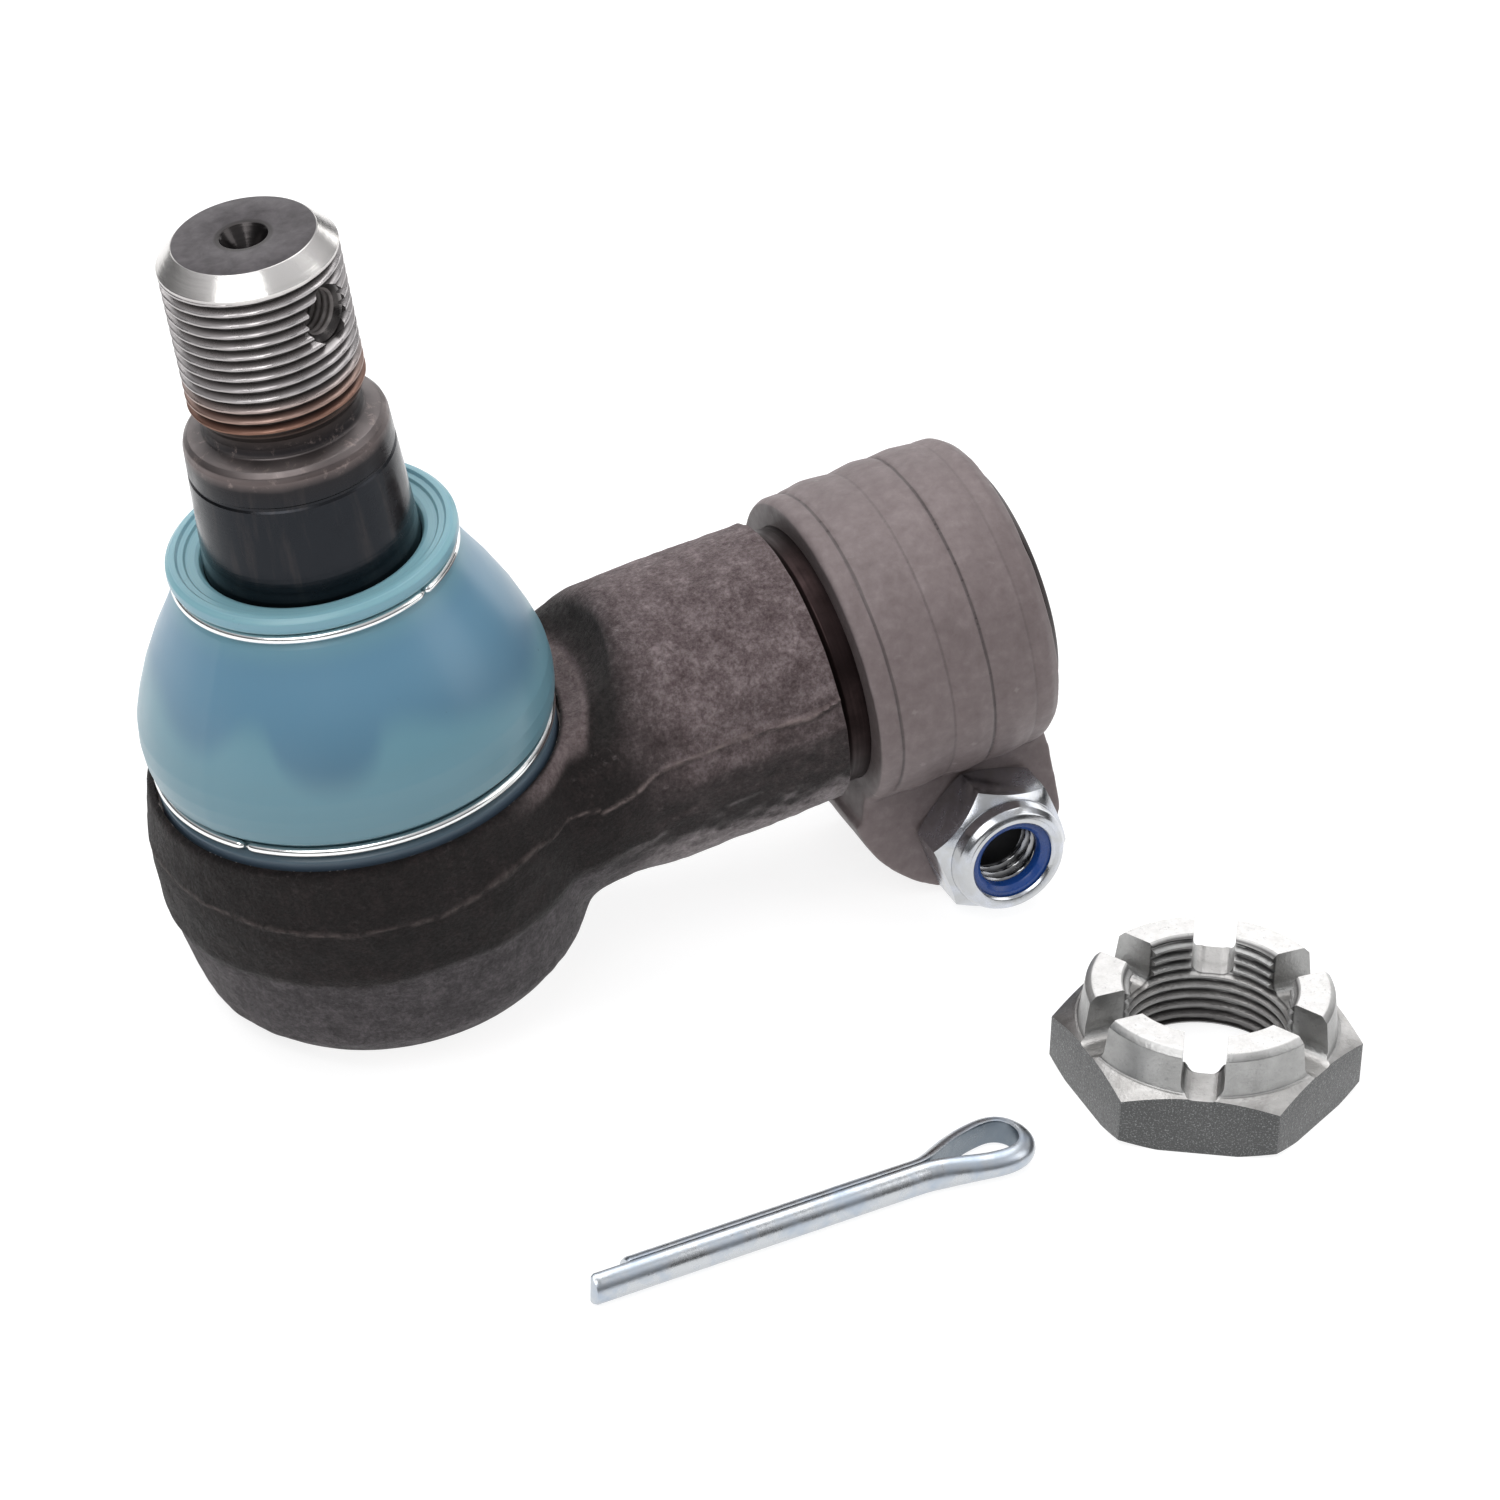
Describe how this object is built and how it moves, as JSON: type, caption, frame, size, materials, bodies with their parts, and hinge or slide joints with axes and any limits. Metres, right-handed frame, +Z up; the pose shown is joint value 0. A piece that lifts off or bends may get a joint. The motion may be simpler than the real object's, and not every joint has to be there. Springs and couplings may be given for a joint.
{
  "type": "tie rod end",
  "caption": "Angled steering tie rod end: ball stud in a forged eye with a dust boot, a threaded clamped shank, and a loose slotted nut and split pin.",
  "frame": {"origin": "on the surface that the part rests on, below the middle of the whole set's box", "axes": "+Z up from the resting surface; +X along the shank seen from above, from the ball towards the clamp; the stud leans 10 degrees from +Z towards -X"},
  "size_m": [0.1354, 0.1088, 0.1109],
  "materials": {
    "forged_steel": "rough forged, dark brown-grey scale",
    "clamp_steel": "matte grey-brown",
    "stud_steel": "turned, blued on the cone",
    "boot_elastomer": "smooth translucent light blue",
    "ring_wire": "bright zinc",
    "zinc_steel": "bright zinc",
    "insert_plastic": "smooth dark blue",
    "nut_steel": "matte zinc",
    "pin_steel": "bright zinc",
    "bearing_plastic": "smooth white acetal",
    "spring_steel": "dark spring steel",
    "seal_rubber": "black",
    "plate_steel": "pressed steel"
  },
  "bodies": {
    "housing": {"housing": "forged_steel", "upper_bearing_shell": "bearing_plastic", "lower_bearing_shell": "bearing_plastic", "preload_spring": "spring_steel", "cover_seal_ring": "seal_rubber", "cover_plate": "plate_steel", "boot_lower_ring": "ring_wire"},
    "boot": {"dust_boot": "boot_elastomer"},
    "boot_ring": {"boot_upper_ring": "ring_wire"},
    "stud": {"ball_stud": "stud_steel"},
    "clamp": {"clamp": "clamp_steel", "clamp_bolt": "zinc_steel", "clamp_lock_nut": "zinc_steel", "lock_nut_insert": "insert_plastic"},
    "castle_nut": {"castle_nut": "nut_steel"},
    "split_pin": {"split_pin": "pin_steel"}
  },
  "joints": [
    {"name": "stud_tilt_side", "type": "hinge", "parent": "housing", "child": "boot", "pos_m": [-0.03821, 0.02611, 0.02363], "axis": [0.9848, 0, 0.1736], "range_deg": [-15, 15], "deforming": ["dust_boot"]},
    {"name": "stud_tilt_along", "type": "hinge", "parent": "boot", "child": "boot_ring", "pos_m": [-0.03821, 0.02611, 0.02363], "axis": [0, 1, 0], "range_deg": [-15, 15]},
    {"name": "stud_spin", "type": "hinge", "parent": "boot_ring", "child": "stud", "pos_m": [-0.03821, 0.02611, 0.02363], "axis": [-0.1736, 0, 0.9848], "continuous": true},
    {"name": "clamp_turn", "type": "hinge", "parent": "housing", "child": "clamp", "pos_m": [0.03565, 0.02611, 0.03665], "axis": [0.9848, 0, 0.1736], "continuous": true},
    {"name": "castle_nut_lift", "type": "slide", "parent": "housing", "child": "castle_nut", "axis": [0, 0, 1], "range_m": [0, 0.06]},
    {"name": "split_pin_lift", "type": "slide", "parent": "housing", "child": "split_pin", "axis": [0, 0, 1], "range_m": [0, 0.06]}
  ]
}
